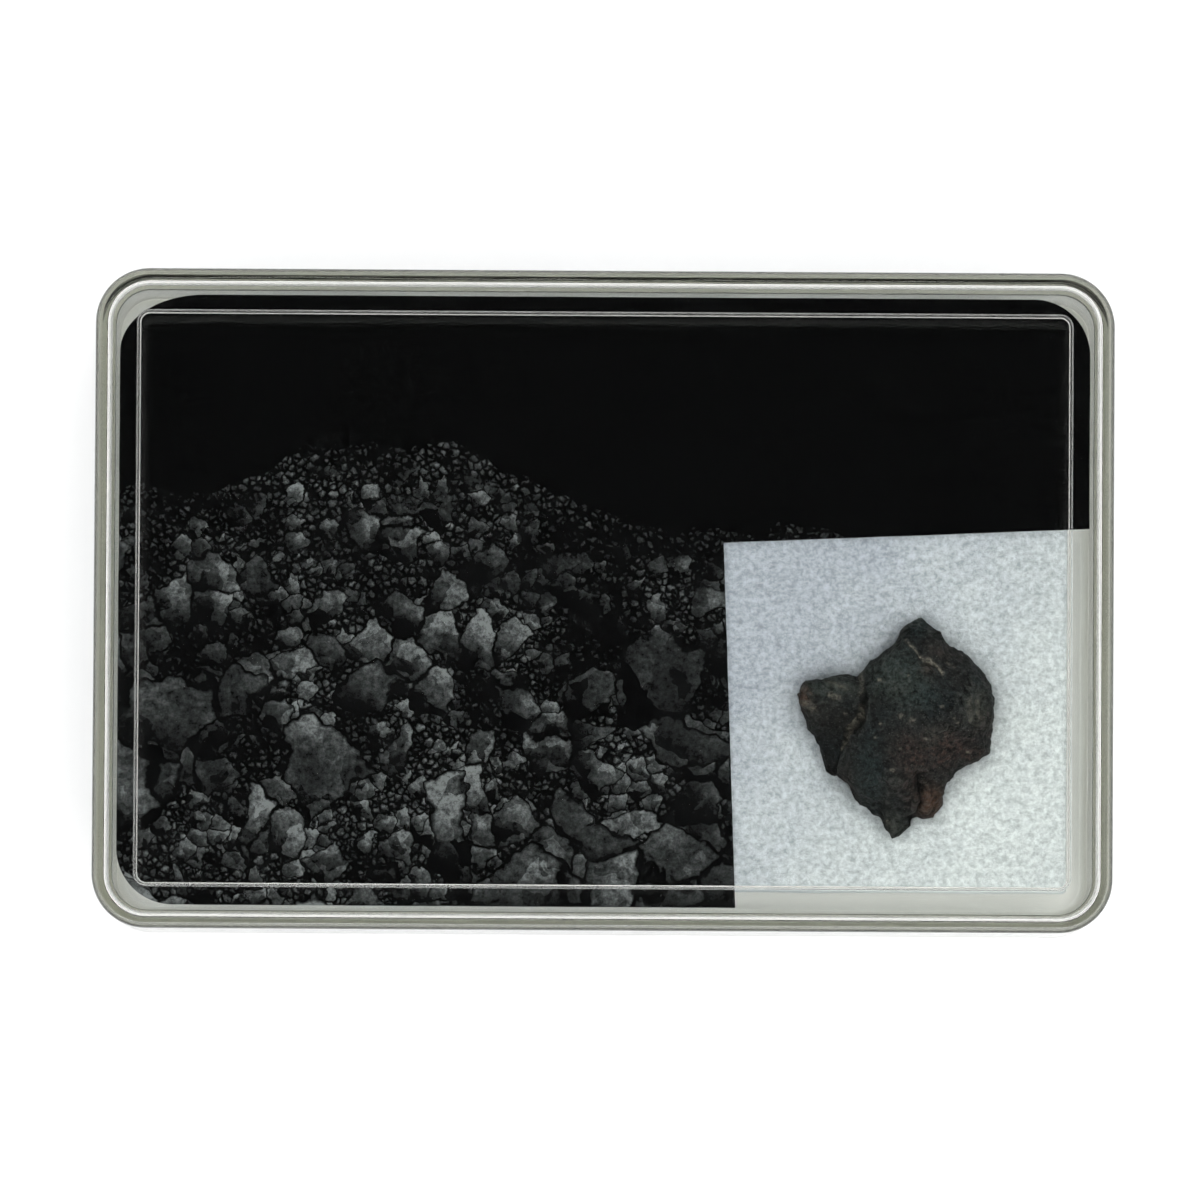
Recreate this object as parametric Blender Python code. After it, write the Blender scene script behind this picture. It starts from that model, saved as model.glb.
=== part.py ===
"""A chondrite fragment in a clear display case, with a foam pad and an L-shaped card.

Metres, +Z up. The origin is the centre of the case's underside. +X runs along the long
side, and +Y points to the edge of the case at the top of the card's picture.
"""

import math

import bmesh
import bpy
from mathutils import Vector, noise

MM = 0.001
GAP = 0.3 * MM

# Case, outside
CASE_LENGTH = 90.0 * MM
CASE_WIDTH = 58.3 * MM
CASE_HEIGHT = 18.0 * MM
CASE_CORNER = 4.8 * MM
CORNER_STEPS = 8
EDGE_ROUND = 0.6 * MM

# Case, the two halves
SEAM_HEIGHT = 10.5 * MM
FLOOR_THICKNESS = 1.3 * MM
LID_WALL = 0.9 * MM
LID_THICKNESS = 1.2 * MM
LIP_THICKNESS = 0.5 * MM
LIP_TOP = 13.0 * MM
FLOOR_FILLET = 0.8 * MM
INSIDE_FILLET = 0.5 * MM
TINY_CHAMFER = 0.12 * MM
LIP_OUTSIDE = LID_WALL + GAP
LIP_INSIDE = LIP_OUTSIDE + LIP_THICKNESS

# Raised centre panel of the lid
PANEL_RISE = 0.6 * MM
PANEL_INSET = 3.75 * MM
PANEL_CORNER = 1.1 * MM
PANEL_SLOPE = 0.35 * MM
RIM_TOP = CASE_HEIGHT - PANEL_RISE
LID_UNDERSIDE = RIM_TOP - LID_THICKNESS

# Foam pad
FOAM_LENGTH = 82.2 * MM
FOAM_WIDTH = 50.6 * MM
FOAM_TOP = 11.3 * MM
FOAM_CORNER = 0.8 * MM
FOAM_EDGE_ROUND = 0.3 * MM
POCKET_CLEARANCE = 0.55 * MM
POCKET_LIFT = 3.0 * MM
POCKET_STEPS = 44
POCKET_RINGS = 7

# Card
CARD_LENGTH = 86.0 * MM
CARD_WIDTH = 54.1 * MM
CARD_SHIFT_Y = 0.1 * MM
CARD_THICKNESS = 0.35 * MM
CARD_CORNER = 5.0 * MM
CARD_CUT_CORNER = 7.5 * MM
WINDOW_CORNER = (10.6 * MM, 5.4 * MM)
WINDOW_FOOT_X = 11.8 * MM
WINDOW_RIGHT_Y = 6.8 * MM

# Stone
STONE_PLACE = (26.0 * MM, -11.05 * MM, 11.9 * MM)
STONE_DETAIL = 5
STONE_RIM_ROUND = 0.5 * MM
STONE_TOP_SLOPE = 1.9
STONE_UNDER_SLOPE = 1.5
SLOPE_CHANGE = 0.75
RIM_WAVE = 0.45 * MM
FACET_BLEND = 0.06 * MM
LEAST_HEIGHT = 0.3 * MM

# The stone's outline seen from above, counter-clockwise from its right side, in mm
# from the stone's own place. Each point is a corner of the broken edge.
OUTLINE_MM = (
    (8.6, 1.2), (8.7, 2.6), (8.3, 3.9), (7.6, 5.4), (6.5, 6.4), (4.7, 7.2),
    (2.7, 9.2), (2.0, 9.7), (0.9, 9.0), (-0.4, 7.6), (-2.4, 6.3), (-2.9, 5.4),
    (-3.7, 4.6), (-5.8, 4.8), (-8.4, 4.4), (-8.8, 3.6), (-8.7, 2.6), (-8.3, 0.9),
    (-7.7, -0.4), (-6.8, -2.2), (-6.3, -3.8), (-5.1, -4.6), (-3.3, -6.8),
    (-1.7, -8.0), (-1.2, -9.0), (-0.4, -9.8), (0.3, -9.6), (1.3, -8.7),
    (1.4, -7.8), (2.4, -8.1), (3.3, -7.9), (3.9, -6.9), (4.1, -5.6), (4.5, -4.9),
    (5.6, -3.8), (7.3, -3.0), (8.5, -2.1), (8.2, -0.8),
)

# Broken faces: a point on the face in mm, its height over the widest section, and how
# much the face rises per mm towards +X and +Y.
CORE_FACES = (
    (0.5, 4.5, 3.55, 0.16, -0.16),
    (2.4, 6.3, 3.30, -0.42, -0.50),
    (5.9, 1.2, 3.30, -0.70, 0.06),
    (2.5, 0.5, 4.05, -0.20, 0.22),
    (5.5, -1.4, 2.90, -0.40, 0.60),
    (-1.5, -1.5, 3.60, 0.36, 0.26),
)
LOBE_FACES = (
    (-5.5, 4.0, 2.50, 0.10, -0.18),
    (-5.5, 2.7, 2.45, 0.15, 0.42),
)
UNDER_FACES = (
    (0.0, 0.0, 4.10, 0.05, -0.03),
    (4.0, -3.0, 3.30, -0.35, 0.25),
    (-4.0, 2.0, 3.20, 0.40, -0.10),
    (1.0, 6.0, 3.00, -0.05, -0.40),
    (-1.0, -6.0, 3.00, 0.10, 0.35),
)

# The crack that parts the left lobe from the core, from its upper to its lower end
CRACK_MM = (
    (-3.1, 7.0), (-3.0, 5.2), (-2.9, 2.6), (-3.2, 0.6), (-4.3, -0.4), (-4.9, -2.5),
    (-6.0, -5.5),
)
CRACK_SOFTNESS = 0.42 * MM

# Clefts: their points in mm, depth and half width in mm
CLEFTS = (
    (((1.7, -4.1), (2.2, -6.3), (1.4, -7.8)), 0.55, 0.40),
    (((5.5, 2.6), (6.1, 0.6), (7.0, -0.1)), 0.35, 0.35),
    (((-2.9, 2.6), (-3.2, 0.6), (-4.3, -0.4)), 0.30, 0.35),
)

# Hollows and knobs: centre in mm, radius and height in mm
MOUNDS = (
    (-1.1, 2.2, 1.6, -0.35),
    (3.0, -2.4, 1.3, -0.22),
    (0.2, -4.6, 1.5, 0.18),
    (-6.6, 3.4, 1.0, 0.20),
    (2.9, -6.7, 1.2, 1.20),
)

# Rough surface: wavelength and depth of each layer in mm
ROUGHNESS_LAYERS = ((2.6, 0.16), (1.2, 0.10))

# Chips: shallow scoops that meet in sharp ridges, as size and depth in mm
CHIPS = ((3.6, 0.85), (1.7, 0.38))
CHIP_TILT = 1.1
CHIP_SEED = 7.3
CHIP_LEVEL = 0.3


def material(name, colour, roughness, transmission=0.0, ior=1.5):
    """A plain dielectric surface."""
    mat = bpy.data.materials.new(name)
    mat.use_nodes = True
    shader = mat.node_tree.nodes["Principled BSDF"]
    shader.inputs["Base Color"].default_value = (*colour, 1.0)
    shader.inputs["Roughness"].default_value = roughness
    shader.inputs["Metallic"].default_value = 0.0
    shader.inputs["Transmission Weight"].default_value = transmission
    shader.inputs["IOR"].default_value = ior
    return mat


def new_object(name, bm, mat, smooth_angle=math.radians(30)):
    """Closes the bmesh into a named object with its faces pointing out."""
    bmesh.ops.recalc_face_normals(bm, faces=bm.faces)
    mesh = bpy.data.meshes.new(name)
    bm.to_mesh(mesh)
    bm.free()
    mesh.materials.append(mat)
    mesh.shade_smooth()
    mesh.set_sharp_from_angle(angle=smooth_angle)
    obj = bpy.data.objects.new(name, mesh)
    bpy.context.scene.collection.objects.link(obj)
    return obj


def solid_from_rings(name, rings, mat):
    """A closed solid through rings of equal length, with a flat cap on the first and last."""
    bm = bmesh.new()
    loops = [[bm.verts.new(point) for point in ring] for ring in rings]
    count = len(rings[0])
    for lower, upper in zip(loops, loops[1:]):
        for i in range(count):
            j = (i + 1) % count
            bm.faces.new((lower[i], lower[j], upper[j], upper[i]))
    bm.faces.new(loops[0])
    bm.faces.new(loops[-1])
    return new_object(name, bm, mat)


def arc(centre, radius_x, radius_y, start, steps):
    """A quarter turn, counter-clockwise from the start angle."""
    points = []
    for i in range(steps + 1):
        angle = start + math.pi / 2 * i / steps
        x = centre[0] + radius_x * math.cos(angle)
        y = centre[1] + radius_y * math.sin(angle)
        points.append((x, y))
    return points


def rounded_ring(length, width, radius, z, steps=CORNER_STEPS):
    """A rectangle with round corners, centred on the Z axis."""
    x = length / 2 - radius
    y = width / 2 - radius
    corners = ((x, y), (-x, y), (-x, -y), (x, -y))
    ring = []
    for quarter, corner in enumerate(corners):
        for px, py in arc(corner, radius, radius, quarter * math.pi / 2, steps):
            ring.append((px, py, z))
    return ring


def case_ring(inset, z, radius=None):
    """The case's outline moved inwards by inset, at height z."""
    if radius is None:
        radius = max(CASE_CORNER - inset, TINY_CHAMFER)
    return rounded_ring(CASE_LENGTH - 2 * inset, CASE_WIDTH - 2 * inset, radius, z)


def quarter_profile(inset_start, z_start, inset_end, z_end, steps=3, flat_first=True):
    """Insets and heights along a quarter ellipse; flat_first leaves the start level."""
    profile = []
    for i in range(steps + 1):
        turn = math.pi / 2 * i / steps
        if flat_first:
            across, along = math.sin(turn), 1 - math.cos(turn)
        else:
            across, along = 1 - math.cos(turn), math.sin(turn)
        inset = inset_start + (inset_end - inset_start) * across
        z = z_start + (z_end - z_start) * along
        profile.append((inset, z))
    return profile


def case_base(mat):
    """Floor, walls, shoulder and the thin lip that the lid slides over."""
    floor = FLOOR_THICKNESS
    profile = quarter_profile(EDGE_ROUND, 0.0, 0.0, EDGE_ROUND)
    profile += [
        (0.0, SEAM_HEIGHT - TINY_CHAMFER),
        (TINY_CHAMFER, SEAM_HEIGHT),
        (LIP_OUTSIDE, SEAM_HEIGHT),
        (LIP_OUTSIDE, LIP_TOP - TINY_CHAMFER),
        (LIP_OUTSIDE + TINY_CHAMFER, LIP_TOP),
        (LIP_INSIDE - TINY_CHAMFER, LIP_TOP),
        (LIP_INSIDE, LIP_TOP - TINY_CHAMFER),
    ]
    profile += quarter_profile(
        LIP_INSIDE, floor + FLOOR_FILLET, LIP_INSIDE + FLOOR_FILLET, floor, flat_first=False
    )
    return solid_from_rings("case_base", [case_ring(*at) for at in profile], mat)


def case_lid(mat):
    """Flat top with a raised centre panel, and a skirt that ends just over the base."""
    skirt_foot = SEAM_HEIGHT + GAP
    panel_out = PANEL_INSET - PANEL_SLOPE / 2
    panel_in = PANEL_INSET + PANEL_SLOPE / 2
    inner_out = panel_out + LID_THICKNESS / 4
    inner_in = panel_in + LID_THICKNESS / 4
    profile = [
        (LID_WALL - TINY_CHAMFER, skirt_foot, None),
        (TINY_CHAMFER, skirt_foot, None),
        (0.0, skirt_foot + TINY_CHAMFER, None),
    ]
    rounded = quarter_profile(0.0, RIM_TOP - EDGE_ROUND, EDGE_ROUND, RIM_TOP, flat_first=False)
    profile += [(inset, z, None) for inset, z in rounded]
    profile += [
        (panel_out, RIM_TOP, PANEL_CORNER + PANEL_SLOPE / 2),
        (panel_in, CASE_HEIGHT, PANEL_CORNER - PANEL_SLOPE / 2),
    ]
    outside = [case_ring(*at) for at in profile]
    under = quarter_profile(
        LID_WALL + INSIDE_FILLET, LID_UNDERSIDE, LID_WALL, LID_UNDERSIDE - INSIDE_FILLET
    )
    inner_profile = [
        (inner_in, LID_UNDERSIDE + PANEL_RISE, PANEL_CORNER - PANEL_SLOPE / 2),
        (inner_out, LID_UNDERSIDE, PANEL_CORNER + PANEL_SLOPE / 2),
    ]
    inner_profile += [(inset, z, None) for inset, z in under]
    inner_profile.append((LID_WALL, skirt_foot + TINY_CHAMFER, None))
    inside = [case_ring(*at) for at in inner_profile]
    outside.reverse()
    inside.reverse()
    return solid_from_rings("case_lid", outside + inside, mat)


def card_outline():
    """The card's edge: three round corners, and a window open to the right and bottom."""
    x = CARD_LENGTH / 2
    top = CARD_WIDTH / 2 + CARD_SHIFT_Y
    foot = CARD_SHIFT_Y - CARD_WIDTH / 2
    r = CARD_CORNER
    cut = CARD_CUT_CORNER
    outline = [(WINDOW_FOOT_X, foot), WINDOW_CORNER, (x, WINDOW_RIGHT_Y)]
    outline += arc((x - r, top - r), r, r, 0.0, CORNER_STEPS)
    outline += arc((cut - x, top - r), cut, r, math.pi / 2, CORNER_STEPS)
    outline += arc((r - x, foot + r), r, r, math.pi, CORNER_STEPS)
    return outline


def label_card(mat):
    """A thin flat card lying on the foam."""
    bottom = FOAM_TOP + GAP
    outline = card_outline()
    rings = [[(x, y, z) for x, y in outline] for z in (bottom, bottom + CARD_THICKNESS)]
    return solid_from_rings("label_card", rings, mat)


def stone_radius(angle):
    """Distance from the stone's axis to its outline in a direction."""
    direction = Vector((math.cos(angle), math.sin(angle)))
    best = 0.0
    for start, end in zip(OUTLINE_MM, OUTLINE_MM[1:] + OUTLINE_MM[:1]):
        a = Vector(start) * MM
        edge = Vector(end) * MM - a
        turn = direction.cross(edge)
        if abs(turn) < 1e-12:
            continue
        reach = a.cross(edge) / turn
        share = a.cross(direction) / turn
        if reach > 0 and -1e-6 <= share <= 1 + 1e-6:
            best = max(best, reach)
    return best


def soft_lowest(values):
    """The lowest value, with the meeting edges of the faces slightly rounded."""
    low = min(values)
    total = sum(math.exp((low - value) / FACET_BLEND) for value in values)
    return low - FACET_BLEND * math.log(total)


def face_height(face, x, y):
    """Height of a broken face over the stone's widest section."""
    cx, cy, height, rise_x, rise_y = face
    return height * MM + rise_x * (x - cx * MM) + rise_y * (y - cy * MM)


def path_distance(path, x, y):
    """Distance to a path of points in mm; positive where the point is left of it."""
    point = Vector((x, y))
    best = None
    for start, end in zip(path, path[1:]):
        a = Vector(start) * MM
        edge = Vector(end) * MM - a
        share = min(max((point - a).dot(edge) / edge.length_squared, 0.0), 1.0)
        away = point - (a + edge * share)
        side = 1.0 if edge.cross(point - a) > 0 else -1.0
        if best is None or away.length < abs(best):
            best = side * away.length
    return best


def smooth_step(value):
    """0 below 0, 1 above 1, and a smooth rise between."""
    value = min(max(value, 0.0), 1.0)
    return value * value * (3 - 2 * value)


def flank(angle, share, slope):
    """The stone's steep side: height gained from the rim inwards."""
    depth = stone_radius(angle) * max(1 - share, 0.0)
    steepness = slope + SLOPE_CHANGE * math.sin(3 * angle + 0.6) * math.cos(2 * angle)
    return steepness * math.sqrt(depth * depth + 2 * depth * STONE_RIM_ROUND)


def rim_height(angle, share):
    """The widest section rises and falls round the stone."""
    wave = 0.6 * math.sin(2 * angle + 1.0) + 0.4 * math.sin(5 * angle)
    return RIM_WAVE * wave * share**4


def stone_top(x, y, side):
    """Upper surface at a point of the stone, over the widest section."""
    core = soft_lowest([face_height(face, x, y) for face in CORE_FACES])
    lobe = soft_lowest([face_height(face, x, y) for face in LOBE_FACES])
    left = smooth_step(0.5 - path_distance(CRACK_MM, x, y) / (2 * CRACK_SOFTNESS))
    height = core + (lobe - core) * left
    for path, depth, width in CLEFTS:
        away = path_distance(path, x, y) / (width * MM)
        height -= depth * MM * math.exp(-away * away)
    for cx, cy, radius, rise in MOUNDS:
        away = math.hypot(x - cx * MM, y - cy * MM) / (radius * MM)
        height += rise * MM * math.exp(-away * away)
    return soft_lowest([max(height, LEAST_HEIGHT), side])


def stone_under(x, y, side):
    """Depth of the underside at a point of the stone, under the widest section."""
    depth = soft_lowest([face_height(face, x, y) for face in UNDER_FACES])
    return soft_lowest([max(depth, LEAST_HEIGHT), side])


def relief(point):
    """Height of the broken surface over its smooth form at a point of the stone."""
    height = 0.0
    for size, depth in CHIPS:
        place = point / (size * MM)
        scoops = []
        for distance, centre in zip(*noise.voronoi(place)):
            tilt = noise.cell_vector(centre * CHIP_SEED) - Vector((0.5, 0.5, 0.5))
            scoops.append(distance * distance + CHIP_TILT * tilt.dot(place - centre))
        height += depth * MM * (min(scoops) - CHIP_LEVEL)
    for wavelength, depth in ROUGHNESS_LAYERS:
        height += noise.noise(point / (wavelength * MM)) * depth * MM
    return height


def stone_point(direction):
    """The stone's surface in a direction of the unit sphere, from the stone's place."""
    angle = math.atan2(direction.y, direction.x)
    share = math.hypot(direction.x, direction.y)
    radius = stone_radius(angle)
    x = radius * share * math.cos(angle)
    y = radius * share * math.sin(angle)
    if direction.z >= 0:
        z = stone_top(x, y, flank(angle, share, STONE_TOP_SLOPE))
    else:
        z = -stone_under(x, y, flank(angle, share, STONE_UNDER_SLOPE))
    return Vector((x, y, z + rim_height(angle, share)))


def meteorite(mat):
    """One broken stone with flat fracture faces, a cracked lobe, clefts and a nub."""
    bm = bmesh.new()
    bmesh.ops.create_icosphere(bm, subdivisions=STONE_DETAIL, radius=1.0)
    for vert in bm.verts:
        vert.co = stone_point(vert.co.normalized())
    bm.normal_update()
    heights = [relief(vert.co) for vert in bm.verts]
    for vert, height in zip(bm.verts, heights):
        vert.co += vert.normal * height
    obj = new_object("meteorite", bm, mat, math.radians(38))
    obj.location = STONE_PLACE
    return obj


def pocket_cutter():
    """The space pressed into the foam: the stone's underside with clearance all round."""
    rings = []
    for level in range(1, POCKET_RINGS + 1):
        share = math.sin(math.pi / 2 * level / POCKET_RINGS)
        ring = []
        for i in range(POCKET_STEPS):
            angle = 2 * math.pi * i / POCKET_STEPS
            radius = stone_radius(angle)
            x = radius * share * math.cos(angle)
            y = radius * share * math.sin(angle)
            z = rim_height(angle, share)
            z -= stone_under(x, y, flank(angle, share, STONE_UNDER_SLOPE))
            spread = 1 + POCKET_CLEARANCE / radius
            ring.append((x * spread, y * spread, z - POCKET_CLEARANCE))
        rings.append(ring)
    rings.append([(x, y, POCKET_LIFT) for x, y, z in rings[-1]])
    obj = solid_from_rings("pocket_cutter", rings, material("cutter", (1, 0, 0), 0.5))
    obj.location = STONE_PLACE
    obj.hide_render = True
    obj.display_type = "WIRE"
    return obj


def foam_pad(mat):
    """A cut block of soft foam on the floor of the case, pressed in under the stone."""
    bottom = FLOOR_THICKNESS + GAP
    rings = [
        rounded_ring(FOAM_LENGTH, FOAM_WIDTH, FOAM_CORNER, bottom, 3),
        rounded_ring(FOAM_LENGTH, FOAM_WIDTH, FOAM_CORNER, FOAM_TOP - FOAM_EDGE_ROUND, 3),
        rounded_ring(
            FOAM_LENGTH - FOAM_EDGE_ROUND,
            FOAM_WIDTH - FOAM_EDGE_ROUND,
            FOAM_CORNER - FOAM_EDGE_ROUND / 2,
            FOAM_TOP,
            3,
        ),
    ]
    obj = solid_from_rings("foam_pad", rings, mat)
    cut = obj.modifiers.new("pocket", "BOOLEAN")
    cut.operation = "DIFFERENCE"
    cut.solver = "EXACT"
    cut.object = pocket_cutter()
    return obj


def main():
    """Empties the scene and models the five pieces."""
    for obj in list(bpy.data.objects):
        bpy.data.objects.remove(obj, do_unlink=True)
    clear = material("clear_plastic", (0.93, 0.95, 0.92), 0.05, transmission=1.0, ior=1.59)
    case_base(clear)
    case_lid(clear)
    foam_pad(material("white_foam", (0.78, 0.81, 0.83), 0.9))
    label_card(material("printed_card", (0.03, 0.034, 0.036), 0.45))
    meteorite(material("dark_chondrite", (0.028, 0.031, 0.029), 0.7))


main()
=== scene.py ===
"""Looks of a chondrite fragment in a clear display case with foam and a printed card."""

import math

import bmesh
import bpy
import numpy as np
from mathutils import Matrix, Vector, noise


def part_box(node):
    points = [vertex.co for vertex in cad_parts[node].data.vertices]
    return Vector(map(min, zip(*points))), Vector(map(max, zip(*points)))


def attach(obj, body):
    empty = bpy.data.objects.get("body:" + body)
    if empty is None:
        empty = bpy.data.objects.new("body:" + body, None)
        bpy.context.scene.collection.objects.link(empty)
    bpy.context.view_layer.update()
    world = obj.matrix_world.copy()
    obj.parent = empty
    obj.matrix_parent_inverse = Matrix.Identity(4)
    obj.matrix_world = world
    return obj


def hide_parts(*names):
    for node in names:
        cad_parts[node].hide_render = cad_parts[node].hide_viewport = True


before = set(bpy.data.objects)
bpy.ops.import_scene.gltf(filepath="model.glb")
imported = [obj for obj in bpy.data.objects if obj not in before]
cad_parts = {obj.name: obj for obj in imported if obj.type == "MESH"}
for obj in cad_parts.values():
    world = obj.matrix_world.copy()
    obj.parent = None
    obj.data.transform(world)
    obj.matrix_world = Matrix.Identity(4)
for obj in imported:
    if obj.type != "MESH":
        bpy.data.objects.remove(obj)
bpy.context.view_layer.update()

MM = 0.001

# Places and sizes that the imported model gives
BASE_LOW, BASE_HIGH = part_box("case_base")
LID_LOW, LID_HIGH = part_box("case_lid")
FOAM_LOW, FOAM_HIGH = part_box("foam_pad")
CARD_LOW, CARD_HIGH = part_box("label_card")
STONE_LOW, STONE_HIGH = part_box("meteorite")
CASE_LENGTH = BASE_HIGH.x - BASE_LOW.x
CASE_WIDTH = BASE_HIGH.y - BASE_LOW.y
CASE_HEIGHT = LID_HIGH.z

# Case
CASE_CORNER = 4.8 * MM
CORNER_STEPS = 28
EDGE_ROUND = 0.6 * MM
SEAM_HEIGHT = 10.5 * MM
SEAM_GAP = 0.05 * MM
FLOOR_THICKNESS = 1.3 * MM
LID_WALL = 1.02 * MM
LID_THICKNESS = 1.2 * MM
LIP_OUTSIDE = 1.2 * MM
LIP_INSIDE = 1.7 * MM
LIP_TOP = BASE_HIGH.z
FLOOR_FILLET = 0.8 * MM
INSIDE_FILLET = 0.5 * MM
TINY_ROUND = 0.08 * MM
SUPPORT = 0.12 * MM
PANEL_RISE = 0.6 * MM
PANEL_INSET = 3.75 * MM
PANEL_CORNER = 1.1 * MM
PANEL_SLOPE = 0.07 * MM
PANEL_EDGE = 0.045 * MM
PANEL_SHIFT = 0.22 * MM
RIM_TOP = CASE_HEIGHT - PANEL_RISE
LID_UNDERSIDE = RIM_TOP - LID_THICKNESS

# Foam
FOAM_TOP = FOAM_HIGH.z
FOAM_FINE = 0.3 * MM
FOAM_COARSE = 1.0 * MM
FOAM_EDGE = 0.5 * MM
FOAM_SINK = 0.04 * MM
FOAM_LEAST = 1.5 * MM
GRAIN_LENGTH = 0.9
GRAIN_DEPTH = 0.03 * MM
SWELL_LENGTH = 6.0
SWELL_DEPTH = 0.05 * MM
DENT_ROOM = 0.1
DENT_RIM = 0.5
DENT_REACH = 0.9

# Card
CARD_LIFT = 0.05 * MM
CARD_CORNER = 5.0 * MM
CARD_CUT_CORNER = 7.5 * MM
WINDOW_CORNER = (10.6 * MM, 5.4 * MM)
WINDOW_FOOT_X = 11.8 * MM
WINDOW_RIGHT_Y = 6.8 * MM
# Sizes of rock printed on the card: rocks per mm, seed, rarity, and depth under the skyline
# in mm at which they are all there
ROCKS = (
    (0.62, 11.0, 0.58, 3.0),
    (0.30, 27.0, 0.62, 7.0),
    (0.155, 5.0, 0.66, 14.0),
)

# Stone: the forms of its source, in mm from its own place
STONE_PLACE = Vector((26.0, -11.05, 11.9)) * MM
STONE_GRID = 128
TOP_CROWDING = 1.25
STONE_RIM_ROUND = 0.5
STONE_TOP_SLOPE = 1.9
STONE_UNDER_SLOPE = 1.5
SLOPE_CHANGE = 0.75
RIM_WAVE = 0.45
FACET_BLEND = 0.04
LEAST_HEIGHT = 0.3
OUTLINE = np.array((
    (8.6, 1.2), (8.7, 2.6), (8.3, 3.9), (7.6, 5.4), (6.5, 6.4), (4.7, 7.2),
    (2.7, 9.2), (2.0, 9.7), (0.9, 9.0), (-0.4, 7.6), (-2.4, 6.3), (-2.9, 5.4),
    (-3.7, 4.6), (-5.8, 4.8), (-8.4, 4.4), (-8.8, 3.6), (-8.7, 2.6), (-8.3, 0.9),
    (-7.7, -0.4), (-6.8, -2.2), (-6.3, -3.8), (-5.1, -4.6), (-3.3, -6.8),
    (-1.7, -8.0), (-1.2, -9.0), (-0.4, -9.8), (0.3, -9.6), (1.3, -8.7),
    (1.4, -7.8), (2.4, -8.1), (3.3, -7.9), (3.9, -6.9), (4.1, -5.6), (4.5, -4.9),
    (5.6, -3.8), (7.3, -3.0), (8.5, -2.1), (8.2, -0.8),
))
CORE_FACES = (
    (0.5, 4.5, 3.55, 0.16, -0.16),
    (2.4, 6.3, 3.30, -0.42, -0.50),
    (5.9, 1.2, 3.30, -0.70, 0.06),
    (2.5, 0.5, 4.05, -0.20, 0.22),
    (5.5, -1.4, 2.90, -0.40, 0.60),
    (-1.5, -1.5, 3.60, 0.36, 0.26),
)
LOBE_FACES = (
    (-5.5, 4.0, 2.50, 0.10, -0.18),
    (-5.5, 2.7, 2.45, 0.15, 0.42),
)
UNDER_FACES = (
    (0.0, 0.0, 4.10, 0.05, -0.03),
    (4.0, -3.0, 3.30, -0.35, 0.25),
    (-4.0, 2.0, 3.20, 0.40, -0.10),
    (1.0, 6.0, 3.00, -0.05, -0.40),
    (-1.0, -6.0, 3.00, 0.10, 0.35),
)
CRACK = (
    (-3.1, 7.0), (-3.0, 5.2), (-2.9, 2.6), (-3.2, 0.6), (-4.3, -0.4), (-4.9, -2.5),
    (-6.0, -5.5),
)
CRACK_SOFTNESS = 0.20
CLEFTS = (
    (((1.7, -4.1), (2.2, -6.3), (1.4, -7.8)), 0.55, 0.40),
    (((5.5, 2.6), (6.1, 0.6), (7.0, -0.1)), 0.35, 0.30),
    (((-2.9, 2.6), (-3.2, 0.6), (-4.3, -0.4)), 0.30, 0.30),
)
MOUNDS = (
    (-1.1, 2.2, 1.6, -0.35),
    (3.0, -2.4, 1.3, -0.22),
    (0.2, -4.6, 1.5, 0.18),
    (-6.6, 3.4, 1.0, 0.20),
    (2.9, -6.7, 1.2, 1.20),
)
CHIPS = ((3.6, 0.85), (1.7, 0.38), (0.75, 0.16))
CHIP_TILT = 1.1
CHIP_SEED = 7.3
CHIP_LEVEL = 0.3
ROUGHNESS_LAYERS = ((2.6, 0.16), (1.2, 0.10), (0.5, 0.07), (0.24, 0.05))

# Stains on the stone, with painted light on lit facets and painted shade on shaded sides and in
# hollows: middle, reach in x and y, and amount, in mm from its place
RUST = (
    (4.6, -2.0, 2.6, 1.5, 0.9),
    (6.6, -2.6, 1.8, 0.9, 0.8),
    (1.4, -2.8, 1.6, 2.2, 0.7),
    (1.0, -5.2, 0.8, 1.4, 0.6),
    (-5.6, -5.0, 1.4, 1.2, 0.4),
    (7.6, 0.4, 0.9, 2.0, 0.3),
    (3.6, 7.0, 2.2, 1.2, 0.25),
)
TAN = ((3.0, -6.8, 1.1, 1.5, 1.0), (-8.3, 2.6, 0.5, 0.8, 0.8), (2.6, 5.2, 0.6, 0.8, 0.3))
COOL = (
    (0.0, 4.6, 2.4, 2.0, 1.0),
    (1.6, 2.9, 1.6, 1.2, 0.9),
    (2.0, 9.2, 0.9, 0.8, 0.6),
    (-6.0, 3.8, 2.0, 0.9, 0.6),
    (-2.2, -3.6, 1.3, 2.6, 0.5),
)
# Partly the stone's olive-grey tone, partly painted light on facets that face the light, such as the
# steep right side and the top facet
OLIVE_AND_LIT_SPOTS = (
    (6.9, 1.9, 0.9, 1.5, 0.6),
    (-0.2, 4.0, 2.2, 2.0, 0.5),
    (-5.6, 3.6, 2.2, 0.7, 0.5),
    (-0.2, -8.6, 0.9, 0.9, 0.6),
    (3.4, -1.0, 1.4, 1.2, 0.3),
)
# Painted shade: dark spots in hollows and clefts and on the steep sides that face away from the
# light
PAINTED_SHADE_SPOTS = (
    (-1.9, 2.4, 1.2, 1.1, 0.9),
    (-5.6, 0.2, 1.8, 1.7, 0.7),
    (6.0, 0.7, 0.6, 0.5, 0.9),
    (5.2, 1.3, 0.5, 0.5, 0.6),
    (2.0, -5.6, 0.35, 1.2, 0.9),
    (-2.4, -1.8, 1.6, 1.4, 0.3),
    (-0.6, 7.4, 1.0, 0.6, 0.3),
    (-6.8, -1.2, 0.5, 1.6, 0.5),
)
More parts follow.
